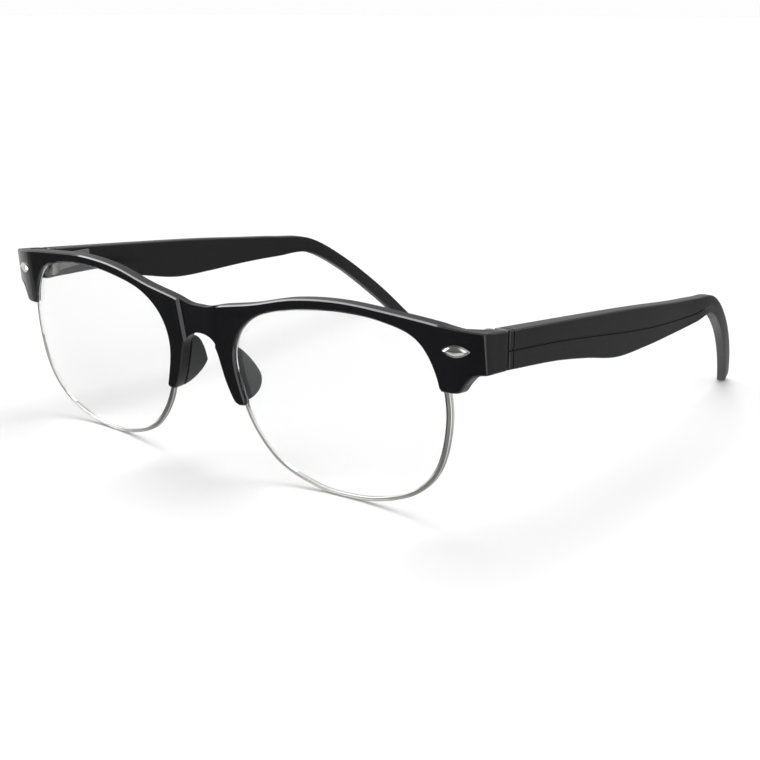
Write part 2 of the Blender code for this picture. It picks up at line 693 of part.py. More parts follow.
def make_temple(side, look, parent):
    """A temple: a flat blade with a paddle shape, a groove line, an inward bow and a turned-down tip."""
    start_y = TEMPLE_START_Y - HINGE_Y
    start_z = HINGE_Z
    side_x = SIDE_X - HINGE_X
    line = temple_line()
    places = [(start_y + s * TEMPLE_LENGTH, h * start_z) for s, h, _, _ in line]
    bm = bmesh.new()
    rings = []
    for i, (share, _, tall, mark) in enumerate(line):
        y, z = places[i]
        (y0, z0), (y1, z1) = places[max(i - 1, 0)], places[min(i + 1, len(places) - 1)]
        run = math.hypot(y1 - y0, z1 - z0)
        up = Vector((0, (z0 - z1) / run, (y1 - y0) / run)) if i else Vector((0, 0, 1))
        past = max(0.0, share - 0.41) / 0.59
        outer = side_x - TEMPLE_TAPER_IN * share - TEMPLE_TIP_INSET * past ** 2.5
        thick = TEMPLE_THICKNESS + (TEMPLE_TIP_THICKNESS - TEMPLE_THICKNESS) * share
        rings.append(temple_section(Vector((outer, y, z - start_z)), up, thick, tall, mark))
    last = rings[-1]
    middle = sum(last, Vector()) / len(last)
    along = (last[0] - rings[-2][0]).normalized()
    for reach, shrink in ((0.9, 0.86), (1.6, 0.5)):
        rings.append([middle + (co - middle) * shrink + along * reach * MM for co in last])
    skin(bm, rings)
    floor = -start_z
    geom = bm.verts[:] + bm.edges[:] + bm.faces[:]
    trimmed = bmesh.ops.bisect_plane(
        bm, geom=geom, dist=1e-7, plane_co=(0, 0, floor), plane_no=(0, 0, -1), clear_outer=True
    )["geom_cut"]
    rim = [g for g in trimmed if isinstance(g, bmesh.types.BMEdge)]
    bmesh.ops.contextual_create(bm, geom=rim)
    mirror_mesh(bm, side)
    temple = finish(bm, f"temple_{side_name(side)}", look, parent)
    face_x = SIDE_X - TEMPLE_THICKNESS - HINGE_X
    for k, spot in enumerate(rivet_spots()):
        bm = bmesh.new()
        rings = []
        for across in (face_x - 1.0 * MM, face_x + 1.8 * MM + FIT_GAP):
            radius = LEAF_RIVET_RADIUS + FIT_GAP
            rings.append([
                Vector((across, spot + radius * math.cos(math.tau * j / 16), radius * math.sin(math.tau * j / 16)))
                for j in range(16)
            ])
        skin(bm, rings)
        mirror_mesh(bm, side)
        hole = finish(bm, f"temple_hole_cutter_{side_name(side)}_{k + 1}", look, parent, smooth=False)
        cut(temple, hole)
    return temple


def temple_section(outer, up, thick, tall, mark):
    """A blade section: chamfered corners, and a shallow groove along the outer face."""
    soft = 0.4 * MM
    half = tall / 2
    level = half - tall * (1 - mark)
    groove = TEMPLE_GROOVE
    if level > half - soft - groove:
        level = half - soft - groove
    corners = [
        (-soft, half), (0.0, half - soft), (0.0, level + groove), (-groove, level), (0.0, level - groove),
        (0.0, soft - half), (-soft, -half), (soft - thick, -half), (-thick, soft - half),
        (-thick, half - soft), (soft - thick, half),
    ]
    return [outer + Vector((across, 0, 0)) + up * height for across, height in corners]


def centre_on_origin(glasses):
    """Move the whole pair so that its depth is centred on the origin."""
    bpy.context.view_layer.update()
    graph = bpy.context.evaluated_depsgraph_get()
    depths = []
    for piece in bpy.data.objects:
        if piece.type == "MESH" and not piece.hide_render:
            shape = piece.evaluated_get(graph)
            depths += [(shape.matrix_world @ vert.co).y for vert in shape.data.vertices]
    glasses.location.y = -(min(depths) + max(depths)) / 2


def main():
    for old in list(bpy.data.objects):
        bpy.data.objects.remove(old)
    black = material("black_plastic", (0.012, 0.012, 0.014), 0.12)
    pad_black = material("pad_plastic", (0.03, 0.03, 0.032), 0.45)
    silver = material("silver_rim", (0.78, 0.77, 0.75), 0.25, metallic=1.0)
    stud_metal = material("stud_metal", (0.82, 0.81, 0.80), 0.15, metallic=1.0)
    hinge_metal = material("hinge_metal", (0.62, 0.61, 0.60), 0.35, metallic=1.0)
    clear = material("clear_lens", (0.97, 0.98, 0.98), 0.02, transmission=1.0)

    glasses = bpy.data.objects.new("glasses", None)
    front = bpy.data.objects.new("front_place", None)
    for empty in (glasses, front):
        bpy.context.scene.collection.objects.link(empty)
    front.parent = glasses
    front.location = (0, 0, CENTRE_HEIGHT)
    front.rotation_euler = (FRONT_LEAN, 0, 0)

    frame = make_front(black, front)
    cut(frame, make_panel_cutter(black, front))
    for side in (1, -1):
        name = side_name(side)
        cut(frame, make_groove_cutter(side, black, front))
        hole = make_stud_pin(
            side, STUD_PIN_RADIUS + FIT_GAP, STUD_PIN_LENGTH + FIT_GAP, f"stud_hole_cutter_{name}", black, front
        )
        cut(frame, hole)
        make_stud(side, stud_metal, front)
        make_rim(side, silver, front)
        make_lens(side, clear, front)
        make_pad(side, pad_black, front)
        for kind in ("front_hinge", "temple_hinge"):
            axis = bpy.data.objects.new(f"{kind}_axis_{name}", None)
            bpy.context.scene.collection.objects.link(axis)
            axis.parent = glasses
            axis.location = (side * HINGE_X, HINGE_Y, HINGE_Z)
            if kind == "front_hinge":
                make_front_leaf(side, hinge_metal, axis)
                make_hinge_screw(side, hinge_metal, axis)
            else:
                make_temple_leaf(side, hinge_metal, axis)
                make_temple(side, black, axis)
                for number in (1, 2):
                    make_rivet(side, number, hinge_metal, axis)
    centre_on_origin(glasses)


main()
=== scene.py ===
"""Half rim eyeglasses: the finished look of the front, rims, lenses, pads, studs, temples and hinges."""

import json
import math

import bmesh
import bpy
from bpy.props import FloatProperty, FloatVectorProperty, PointerProperty
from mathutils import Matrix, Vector


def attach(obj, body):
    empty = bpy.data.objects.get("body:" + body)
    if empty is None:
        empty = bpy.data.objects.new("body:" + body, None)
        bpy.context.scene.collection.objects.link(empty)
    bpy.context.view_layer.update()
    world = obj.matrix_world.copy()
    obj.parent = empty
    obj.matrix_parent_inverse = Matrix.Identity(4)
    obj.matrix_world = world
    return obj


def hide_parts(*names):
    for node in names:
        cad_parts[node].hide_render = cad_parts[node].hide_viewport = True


bl_info = {
    "name": "Half Rim Eyeglasses",
    "version": (1, 0, 0),
    "blender": (4, 5, 0),
    "location": "3D View > Sidebar > Eyeglasses",
    "description": "Builds browline eyeglasses piece by piece on their packed frame",
    "category": "Object",
}

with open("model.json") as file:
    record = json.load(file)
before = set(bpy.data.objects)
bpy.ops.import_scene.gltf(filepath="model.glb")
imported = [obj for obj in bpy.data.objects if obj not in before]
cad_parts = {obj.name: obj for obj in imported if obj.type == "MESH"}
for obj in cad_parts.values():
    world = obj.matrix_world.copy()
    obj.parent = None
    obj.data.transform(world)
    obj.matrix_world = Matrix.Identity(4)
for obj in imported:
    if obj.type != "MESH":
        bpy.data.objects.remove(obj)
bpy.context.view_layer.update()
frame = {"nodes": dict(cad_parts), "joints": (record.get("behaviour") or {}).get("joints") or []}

MM = 0.001
CLOSE = 1e-6
ON_PLANE = 1e-7
FOLD_AXIS = Vector(frame["joints"][0]["pos_m"])
HINGE_BEHIND = 9.332 * MM
HINGE_ABOVE = 13.753 * MM
FRONT_ORIGIN = Vector((0, FOLD_AXIS.y - HINGE_BEHIND, FOLD_AXIS.z - HINGE_ABOVE))
SIDES = (1, -1)

# How the front stands: its lean, the wrap from the bridge outwards, and the sweep of its ends.
LEAN = math.radians(4.75)
WRAP_SLOPE = math.tan(math.radians(4.0))
WRAP_BRIDGE = 8 * MM
SWEEP_START = 24 * MM
SWEEP_RATE = 26.0

# The rim's outline as shares of the lens half-width (towards the temple) and half-height (up).
RIM_SHAPE = [
    (0.975, 0.02), (0.935, 0.47), (0.77, 0.80), (0.45, 0.93), (0.05, 0.962), (-0.37, 0.908),
    (-0.70, 0.80), (-0.925, 0.59), (-1.02, 0.30), (-0.985, -0.05), (-0.86, -0.48), (-0.62, -0.83),
    (-0.28, -1.00), (0.02, -1.038), (0.36, -0.98), (0.68, -0.80), (0.885, -0.48),
]


def length(name, text, value):
    """A size, given in millimetres."""
    return FloatProperty(name=name, description=text, default=value * MM, subtype="DISTANCE", unit="LENGTH")


def shade(name, text, value):
    """A colour."""
    return FloatVectorProperty(
        name=name, description=text, default=value, size=3, subtype="COLOR", min=0, max=1
    )


def share(name, text, value):
    """A value from none to full."""
    return FloatProperty(name=name, description=text, default=value, min=0.0, max=1.0, subtype="FACTOR")


class FrontSizes(bpy.types.PropertyGroup):
    """Sizes of the one-piece front."""

    face: length("Face", "Front face ahead of the lens plane", 1.6)
    thickness: length("Thickness", "Thickness of the brow and legs", 2.6)
    edge: length("Edge", "Rounding of the outer edges", 0.28)
    lip_side: length("Side lip", "How far the lip covers the rim at the sides", 1.0)
    lip_top: length("Top lip", "How far the lip covers the rim at the top", 0.25)
    brow: length("Brow", "Height of the brow above the rim", 1.8)
    bridge_top: length("Bridge top", "Height of the bridge above the lens centre", 14.95)
    leg_drop: length("Leg drop", "How far the nose legs reach below the lens centre", 5.2)
    corner: length("Corner", "Distance of the end piece's corner from the middle", 69.85)
    end_height: length("End height", "Height of the end piece", 8.0)
    end_top: length("End top", "Height of the corner above the lens centre", 18.0)
    end_length: length("End length", "Length of the end piece towards the hinge", 6.7)
    end_flare: length("End flare", "How far the end piece widens towards the hinge", 0.1)
    end_sink: length("End sink", "How far the end piece drops over the front's thickness", 0.39)
    end_wall: length("End wall", "Thickness of the end piece's outer wall", 2.4)
    lobe_drop: length("Lobe drop", "How far the lobe hangs below the end piece", 3.8)
    panel_depth: length("Panel depth", "Depth of the bridge panel", 0.7)
    panel_top: length("Panel top", "Half-width of the bridge panel at its top", 6.1)
    panel_low: length("Panel foot", "Half-width of the bridge panel at its foot", 4.9)


class RimSizes(bpy.types.PropertyGroup):
    """Sizes of the rim wires and lenses."""

    width: length("Lens width", "Width of the rim's centre line", 53.2)
    height: length("Lens height", "Height of the rim's centre line", 39.5)
    spacing: length("Lens spacing", "Distance between the lens centres", 72.2)
    wire: length("Wire", "Radial thickness of the rim wire", 0.9)
    depth: length("Wire depth", "Depth of the rim wire", 1.0)
    channel: length("Channel", "Depth of the lens channel", 0.4)
    gap: length("Fit gap", "Clearance between the rim, the lens and the front", 0.15)
    lens_edge: length("Lens edge", "Thickness of the lens at its edge", 1.2)
    front_bulge: length("Front bulge", "Rise of the lens's front surface", 1.2)
    rear_bulge: length("Rear bulge", "Hollow of the lens's rear surface", 0.6)


class TempleSizes(bpy.types.PropertyGroup):
    """Sizes of the temples."""

    length: length("Length", "Length of a temple to its tip", 127.4)
    thickness: length("Thickness", "Thickness at the hinge", 3.6)
    tip_thickness: length("Tip thickness", "Thickness at the tip", 2.3)
    front_height: length("Front height", "Height at the hinge", 7.7)
    wide_height: length("Widest height", "Height at the widest place", 10.0)
    tip_height: length("Tip height", "Height of the turned-down tip", 3.7)
    taper: length("Taper", "Even inward lean over the whole length", 0.8)
    tip_inset: length("Tip inset", "Inward bow of the tip", 14.5)
    outer: length("Outer side", "Distance of the outer side from the middle", 69.95)
    start: length("Start", "Start of the temple ahead of the fold axis", 0.3)
    band: length("Band", "Length of the plain band at the hinge end", 1.4)
    groove: length("Groove", "Depth of the line along the outer face", 0.25)


class SmallSizes(bpy.types.PropertyGroup):
    """Sizes of the nose pads and end studs."""

    pad_reach: length("Pad reach", "How far the pads stand behind the front", 6.6)
    pad_thickness: length("Pad thickness", "Thickness of a pad", 2.2)
    pad_top: length("Pad top", "Top of the pads above the lens centre", 7.0)
    pad_bottom: length("Pad bottom", "Drop of the pads below the lens centre", 5.0)
    pad_sag: length("Pad sag", "How far the widest place lies below the middle", 1.7)
    pad_gap: length("Pad gap", "Gap between the pads and the front", 0.25)
    stud_width: length("Stud width", "Length of the almond stud", 5.3)
    stud_height: length("Stud height", "Height of the almond stud", 2.4)
    stud_rise: length("Stud rise", "Height of the stud's ridge", 0.55)
    stud_inset: length("Stud inset", "Distance of the stud from the corner", 5.4)
    stud_drop: length("Stud drop", "Distance of the stud below the end piece's top", 3.45)


class Colours(bpy.types.PropertyGroup):
    """Colours and finishes."""

    front: shade("Black plastic", "Colour of the polished plastic", (0.0075, 0.0075, 0.0085))
    dust: shade("Dust", "Colour of fine dust on the plastic", (0.16, 0.16, 0.17))
    pad: shade("Pads", "Colour of the satin nose pads", (0.022, 0.022, 0.024))
    rim: shade("Rim wire", "Colour of the silver rim", (0.80, 0.79, 0.765))
    stud: shade("Studs", "Colour of the bright studs", (0.86, 0.85, 0.84))
    hinge: shade("Hinges", "Colour of the hinge steel", (0.36, 0.355, 0.35))
    lens: shade("Lenses", "Colour of the clear lenses", (0.985, 0.99, 0.985))
    polish: share("Polish", "Roughness of the polished plastic", 0.07)
    satin: share("Satin", "Roughness of the pads", 0.36)


class Staging(bpy.types.PropertyGroup):
    """Floor, light and view."""

    floor: shade("Floor", "Colour of the pale floor", (0.78, 0.78, 0.78))
    light: FloatProperty(name="Light", description="Strength of the overhead light", default=1.5)
    sheen: FloatProperty(name="Sheen", description="Strength of the light seen only in polish", default=3.2)
    dim: share("Dim side", "Share of the surround's light left on the dim screens", 0.09)


# Shape helpers

def spline(points, steps, closed=False):
    """Smooth points through a few control points, steps to each stretch."""
    count = len(points)
    curve = []
    for i in range(count if closed else count - 1):
        if closed:
            a, b, c, d = (points[(i + k) % count] for k in (-1, 0, 1, 2))
        else:
            a, b, c, d = (points[min(max(i + k, 0), count - 1)] for k in (-1, 0, 1, 2))
        for s in range(steps):
            t = s / steps
            curve.append(tuple(
                0.5 * (2 * q + (r - p) * t + (2 * p - 5 * q + 4 * r - u) * t * t
                       + (3 * q - p - 3 * r + u) * t ** 3)
                for p, q, r, u in zip(a, b, c, d)
            ))
    if not closed:
        curve.append(tuple(points[-1]))
    return curve


def sizes():
    """The sizes of the front, the rims, the small pieces and the temples."""
    scene = bpy.context.scene
    return scene.glasses_front, scene.glasses_rims, scene.glasses_small, scene.glasses_temples


def wrap(across):
    """How far back the front stands at a distance from its middle."""
    half = bpy.context.scene.glasses_rims.spacing / 2
    bend = math.hypot(across, WRAP_BRIDGE) - math.hypot(half, WRAP_BRIDGE)
    past = max(0.0, abs(across) - half - SWEEP_START)
    return WRAP_SLOPE * bend + SWEEP_RATE * past * past


def stand_up(bm):
    """Wrap flat front geometry, lean it and set it in place."""
    turn, keep = math.sin(LEAN), math.cos(LEAN)
    for vert in bm.verts:
        x, y, z = vert.co
        y += wrap(x)
        vert.co = FRONT_ORIGIN + Vector((x, y * keep - z * turn, y * turn + z * keep))


def rim_path(steps):
    """The rim wire's centre line, flat, with so many steps to each stretch."""
    rims = bpy.context.scene.glasses_rims
    shape = spline(RIM_SHAPE, steps, closed=True)
    return [(rims.spacing / 2 + u * rims.width / 2, v * rims.height / 2) for u, v in shape]


def offset_path(path, distance):
    """A closed path moved inwards by a distance."""
    moved = []
    for i, (x, z) in enumerate(path):
        (x0, z0), (x1, z1) = path[i - 1], path[(i + 1) % len(path)]
        run = math.hypot(x1 - x0, z1 - z0)
        moved.append((x - (z1 - z0) / run * distance, z + (x1 - x0) / run * distance))
    return moved


def loft(bm, rings, closed=False):
    """Join rings of points with bridged loops, and cap open ends."""
    loops = []
    for ring in rings:
        verts = [bm.verts.new(co) for co in ring]
        loops.append([bm.edges.new((verts[i - 1], verts[i])) for i in range(len(verts))])
    pairs = list(zip(loops, loops[1:]))
    if closed:
        pairs.append((loops[-1], loops[0]))
    for a, b in pairs:
        bmesh.ops.bridge_loops(bm, edges=a + b)
    if not closed:
        for end in (loops[0], loops[-1]):
            bmesh.ops.contextual_create(bm, geom=end)


def side_name(side):
    """The wearer's side as it is named in the pieces."""
    return "left" if side > 0 else "right"


def make_object(bm, name, look=None, mirror=False, sharp=35, place=None):
    """Turn a bmesh into a smooth-shaded object at the origin."""
    if mirror:
        bmesh.ops.scale(bm, vec=(-1, 1, 1), verts=bm.verts)
    if place:
        place(bm)
    bmesh.ops.recalc_face_normals(bm, faces=bm.faces)
    mesh = bpy.data.meshes.new(name)
    bm.to_mesh(mesh)
    bm.free()
    if look:
        mesh.materials.append(look)
    mesh.shade_smooth()
    mesh.set_sharp_from_angle(angle=math.radians(sharp))
    made = bpy.data.objects.new(name, mesh)
    bpy.context.scene.collection.objects.link(made)
    return made


def settle(piece, body, slot, *nodes):
    """Ride the finished piece on its body in place of its CAD nodes."""
    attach(piece, body)
    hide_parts(*nodes)


def apply_modifiers(piece):
    """Bake a piece's modifiers into its mesh."""
    bpy.context.view_layer.update()
    shape = piece.evaluated_get(bpy.context.evaluated_depsgraph_get())
    baked = bpy.data.meshes.new_from_object(shape)
    piece.modifiers.clear()
    piece.data = baked


def carve(piece, cutters):
    """Cut a piece with each cutter, then discard the cutters."""
    for cutter in cutters:
        step = piece.modifiers.new(cutter.name, "BOOLEAN")
        step.operation = "DIFFERENCE"
        step.object = cutter
    apply_modifiers(piece)
    for cutter in cutters:
        bpy.data.objects.remove(cutter)


# Shader groups and materials

def new_group(name, inputs, outputs):
    """An empty shader group with its sockets, and its input and output nodes."""
    group = bpy.data.node_groups.new(name, "ShaderNodeTree")
    for label, kind, value in inputs:
        socket = group.interface.new_socket(label, in_out="INPUT", socket_type=kind)
        if value is not None:
            socket.default_value = value
    for label, kind in outputs:
        group.interface.new_socket(label, in_out="OUTPUT", socket_type=kind)
    return group, group.nodes.new("NodeGroupInput"), group.nodes.new("NodeGroupOutput")


def add(tree, kind, **values):
    """A node with its settings; a key in lower case is an attribute, any other an input."""
    node = tree.nodes.new(kind)
    for key, value in values.items():
        if key.islower():
            setattr(node, key, value)
        else:
            node.inputs[key.replace("_", " ")].default_value = value
    return node


def math_node(tree, operation, a, b):
    """The result of one sum of two values or sockets."""
    node = add(tree, "ShaderNodeMath", operation=operation)
    for i, value in enumerate((a, b)):
        if isinstance(value, (int, float)):
            node.inputs[i].default_value = value
        else:
            tree.links.new(value, node.inputs[i])
    return node.outputs[0]


def handling_group():
    """Polishing marks, smears and hairline scratches: a roughness and a height."""
    if "Handling marks" in bpy.data.node_groups:
        return bpy.data.node_groups["Handling marks"]
    tree, start, end = new_group(
        "Handling marks",
        [("Vector", "NodeSocketVector", None), ("Roughness", "NodeSocketFloat", 0.1),
         ("Smears", "NodeSocketFloat", 0.06), ("Scratches", "NodeSocketFloat", 0.3)],
        [("Roughness", "NodeSocketFloat"), ("Height", "NodeSocketFloat")],
    )
    link = tree.links.new
    smear = add(tree, "ShaderNodeTexNoise", Scale=140.0, Detail=5.0, Roughness=0.62, Distortion=0.6)
    link(start.outputs["Vector"], smear.inputs["Vector"])
    soft = add(tree, "ShaderNodeMapRange")
    soft.inputs["From Min"].default_value = 0.42
    soft.inputs["From Max"].default_value = 0.72
    link(smear.outputs["Fac"], soft.inputs["Value"])
    long_way = add(tree, "ShaderNodeMapping")
    long_way.inputs["Scale"].default_value = (6000.0, 350.0, 5000.0)
    link(start.outputs["Vector"], long_way.inputs["Vector"])
    hair = add(tree, "ShaderNodeTexNoise", Scale=1.0, Detail=2.0, Roughness=0.5)
    link(long_way.outputs["Vector"], hair.inputs["Vector"])
    fine = add(tree, "ShaderNodeMapRange")
    fine.inputs["From Min"].default_value = 0.66
    fine.inputs["From Max"].default_value = 0.74
    link(hair.outputs["Fac"], fine.inputs["Value"])
    scratched = math_node(tree, "MULTIPLY", fine.outputs["Result"], start.outputs["Scratches"])
    smeared = math_node(tree, "MULTIPLY", soft.outputs["Result"], start.outputs["Smears"])
    rough = math_node(tree, "ADD", start.outputs["Roughness"], smeared)
    rougher = math_node(tree, "MULTIPLY", scratched, 0.12)
    link(math_node(tree, "ADD", rough, rougher), end.inputs["Roughness"])
    link(math_node(tree, "MULTIPLY", scratched, -1.0), end.inputs["Height"])
    return tree


def dust_group():
    """Fine dust that gathers in specks and light edge wear: a colour."""
    if "Dust and wear" in bpy.data.node_groups:
        return bpy.data.node_groups["Dust and wear"]
    tree, start, end = new_group(
        "Dust and wear",
        [("Vector", "NodeSocketVector", None), ("Colour", "NodeSocketColor", (0, 0, 0, 1)),
         ("Dust", "NodeSocketColor", (0.2, 0.2, 0.2, 1)), ("Amount", "NodeSocketFloat", 0.3),
         ("Wear", "NodeSocketFloat", 0.2)],
        [("Colour", "NodeSocketColor")],
    )
    link = tree.links.new
    specks = add(tree, "ShaderNodeTexNoise", Scale=2600.0, Detail=3.0, Roughness=0.7)
    link(start.outputs["Vector"], specks.inputs["Vector"])
    patches = add(tree, "ShaderNodeTexNoise", Scale=90.0, Detail=3.0)
    link(start.outputs["Vector"], patches.inputs["Vector"])
    thin = add(tree, "ShaderNodeMapRange")
    thin.inputs["From Min"].default_value = 0.68
    thin.inputs["From Max"].default_value = 0.78
    link(specks.outputs["Fac"], thin.inputs["Value"])
    spread = math_node(tree, "MULTIPLY", thin.outputs["Result"], patches.outputs["Fac"])
    amount = math_node(tree, "MULTIPLY", spread, start.outputs["Amount"])
    surface = add(tree, "ShaderNodeNewGeometry")
    edges = add(tree, "ShaderNodeMapRange")
    edges.inputs["From Min"].default_value = 0.53
    edges.inputs["From Max"].default_value = 0.62
    link(surface.outputs["Pointiness"], edges.inputs["Value"])
    worn = math_node(tree, "MULTIPLY", edges.outputs["Result"], start.outputs["Wear"])
    both = math_node(tree, "MAXIMUM", amount, worn)
    mix = add(tree, "ShaderNodeMix", data_type="RGBA")
    link(both, mix.inputs["Factor"])
    link(start.outputs["Colour"], mix.inputs[6])
    link(start.outputs["Dust"], mix.inputs[7])
    link(mix.outputs[2], end.inputs["Colour"])
    return tree


def grain_group():
    """Brushed grain: a roughness, a height and a shade."""
    if "Brushed grain" in bpy.data.node_groups:
        return bpy.data.node_groups["Brushed grain"]
    tree, start, end = new_group(
        "Brushed grain",
        [("Vector", "NodeSocketVector", None), ("Colour", "NodeSocketColor", (0.7, 0.7, 0.7, 1)),
         ("Roughness", "NodeSocketFloat", 0.2), ("Spread", "NodeSocketFloat", 0.1),
         ("Stretch", "NodeSocketVector", (3000.0, 300.0, 3000.0))],
        [("Colour", "NodeSocketColor"), ("Roughness", "NodeSocketFloat"), ("Height", "NodeSocketFloat")],
    )
    link = tree.links.new
    way = add(tree, "ShaderNodeVectorMath", operation="MULTIPLY")
    link(start.outputs["Vector"], way.inputs[0])
    link(start.outputs["Stretch"], way.inputs[1])
    lines = add(tree, "ShaderNodeTexNoise", Scale=1.0, Detail=4.0, Roughness=0.65)
    link(way.outputs["Vector"], lines.inputs["Vector"])
    blotch = add(tree, "ShaderNodeTexNoise", Scale=420.0, Detail=2.0)
    link(start.outputs["Vector"], blotch.inputs["Vector"])
    spread = math_node(tree, "MULTIPLY", lines.outputs["Fac"], start.outputs["Spread"])
    link(math_node(tree, "ADD", start.outputs["Roughness"], spread), end.inputs["Roughness"])
    link(lines.outputs["Fac"], end.inputs["Height"])
    darker = add(tree, "ShaderNodeHueSaturation", Value=0.8)
    link(start.outputs["Colour"], darker.inputs["Color"])
    mix = add(tree, "ShaderNodeMix", data_type="RGBA")
    link(blotch.outputs["Fac"], mix.inputs["Factor"])
    link(start.outputs["Colour"], mix.inputs[6])
    link(darker.outputs["Color"], mix.inputs[7])
    link(mix.outputs[2], end.inputs["Colour"])
    return tree


def start_material(name, roughness, metallic=0.0):
    """A new material, its tree, its Principled shader and its object coordinates."""
    look = bpy.data.materials.new(name)
    look.use_nodes = True
    tree = look.node_tree
    shader = tree.nodes["Principled BSDF"]
    shader.inputs["Roughness"].default_value = roughness
    shader.inputs["Metallic"].default_value = metallic
    place = add(tree, "ShaderNodeTexCoord")
    return look, tree, shader, place.outputs["Object"]


def bump(tree, shader, height, strength, distance):
    """Feed a height to a shader's normal."""
    node = add(tree, "ShaderNodeBump", Strength=strength, Distance=distance)
    tree.links.new(height, node.inputs["Height"])
    tree.links.new(node.outputs["Normal"], shader.inputs["Normal"])


def plastic(name, colour, roughness, smears, scratches, dust, wear):
    """Moulded and polished plastic."""
    look, tree, shader, place = start_material(name, roughness)
    marks = add(tree, "ShaderNodeGroup", node_tree=handling_group())
    marks.inputs["Roughness"].default_value = roughness
    marks.inputs["Smears"].default_value = smears
    marks.inputs["Scratches"].default_value = scratches
    tree.links.new(place, marks.inputs["Vector"])
    specks = add(tree, "ShaderNodeGroup", node_tree=dust_group())
    specks.inputs["Colour"].default_value = (*colour, 1)
    specks.inputs["Dust"].default_value = (*bpy.context.scene.glasses_colours.dust, 1)
    specks.inputs["Amount"].default_value = dust
    specks.inputs["Wear"].default_value = wear
    tree.links.new(place, specks.inputs["Vector"])
    tree.links.new(specks.outputs["Colour"], shader.inputs["Base Color"])
    tree.links.new(marks.outputs["Roughness"], shader.inputs["Roughness"])
    shader.inputs["IOR"].default_value = 1.46
    bump(tree, shader, marks.outputs["Height"], 0.25, 0.00002)
    return look


def metal(name, colour, roughness, spread, stretch):
    """Drawn, plated or brushed metal."""
    look, tree, shader, place = start_material(name, roughness, 1.0)
    grain = add(tree, "ShaderNodeGroup", node_tree=grain_group())
    grain.inputs["Colour"].default_value = (*colour, 1)
    grain.inputs["Roughness"].default_value = roughness
    grain.inputs["Spread"].default_value = spread
    grain.inputs["Stretch"].default_value = stretch
    tree.links.new(place, grain.inputs["Vector"])
    tree.links.new(grain.outputs["Colour"], shader.inputs["Base Color"])
    tree.links.new(grain.outputs["Roughness"], shader.inputs["Roughness"])
    bump(tree, shader, grain.outputs["Height"], 0.12, 0.00001)
    return look


def lens_material():
    """Clear lens with a faint film of smears."""
    colours = bpy.context.scene.glasses_colours
    look, tree, shader, place = start_material("clear_lens", 0.0)
    shader.inputs["Base Color"].default_value = (*colours.lens, 1)
    shader.inputs["Transmission Weight"].default_value = 1.0
    shader.inputs["IOR"].default_value = 1.5
    marks = add(tree, "ShaderNodeGroup", node_tree=handling_group())
    marks.inputs["Roughness"].default_value = 0.0
    marks.inputs["Smears"].default_value = 0.02
    marks.inputs["Scratches"].default_value = 0.05
    tree.links.new(place, marks.inputs["Vector"])
    tree.links.new(marks.outputs["Roughness"], shader.inputs["Roughness"])
    return look


# The front

def opening_edge(steps):
    """The lens opening's edge, from the leg's foot over the top to the lobe."""
    front, rims, _, _ = sizes()
    middle = rims.spacing / 2
    narrow = 1 - 2 * front.lip_side / rims.width
    low = 1 - 2 * front.lip_top / rims.height
    path = [
        (middle + u * narrow * rims.width / 2, v * low * rims.height / 2)
        for u, v in spline(RIM_SHAPE, steps, closed=True)
    ]
    lobe_end = front.end_top - front.end_height - front.lobe_drop
    temple_side = [p for p in path if p[0] > middle and p[1] > lobe_end + 0.5 * MM]
    nose_side = [p for p in path if p[0] <= middle and p[1] > 0.6 * MM - front.leg_drop]
    temple_side.sort(key=lambda p: math.atan2(p[1], p[0] - middle))
    nose_side.sort(key=lambda p: math.atan2(p[1], p[0] - middle) % (2 * math.pi))
    return (temple_side + nose_side)[::-1]


def front_outline():
    """The wearer's left half of the front, from the bridge's top round to its underside."""
    front, rims, _, _ = sizes()
    corner, middle = front.corner, rims.spacing / 2
    crest = rims.height / 2 * 0.962 + front.brow
    brow = spline([
        (0.0, front.bridge_top), (3.0 * MM, front.bridge_top + 0.12 * MM),
        (7.5 * MM, front.bridge_top + 1.2 * MM), (middle - 20 * MM, crest - 3.2 * MM),
        (middle - 9 * MM, crest - 0.8 * MM), (middle + 3 * MM, crest),
        (middle + 17 * MM, crest - 0.9 * MM), (corner - 8 * MM, front.end_top + 1.05 * MM),
        (corner, front.end_top),
    ], 9)
    corner_low = front.end_top - front.end_height
    opening = opening_edge(14)
    lobe_x = opening[-1][0]
    lobe_low = corner_low - front.lobe_drop
    lobe = spline([
        (corner, corner_low), (corner - 2.3 * MM, corner_low - 0.3 * MM),
        (corner - 3.7 * MM, corner_low - 1.7 * MM), (corner - 4.9 * MM, lobe_low + 0.35 * MM),
        (corner - 6.1 * MM, lobe_low), (lobe_x + 0.45 * MM, lobe_low + 0.05 * MM),
    ], 6)
    foot_x, foot_z = opening[0]
    leg = spline([
        (foot_x - 0.4 * MM, foot_z - 0.55 * MM), (foot_x - 1.9 * MM, -front.leg_drop),
        (foot_x - 3.2 * MM, 0.9 * MM - front.leg_drop), (7.0 * MM, -0.6 * MM), (6.0 * MM, 2.6 * MM),
        (5.1 * MM, 5.6 * MM), (3.9 * MM, 7.6 * MM), (2.1 * MM, 8.7 * MM), (0.0, 9.0 * MM),
    ], 7)
    return brow + lobe + opening[::-1] + leg


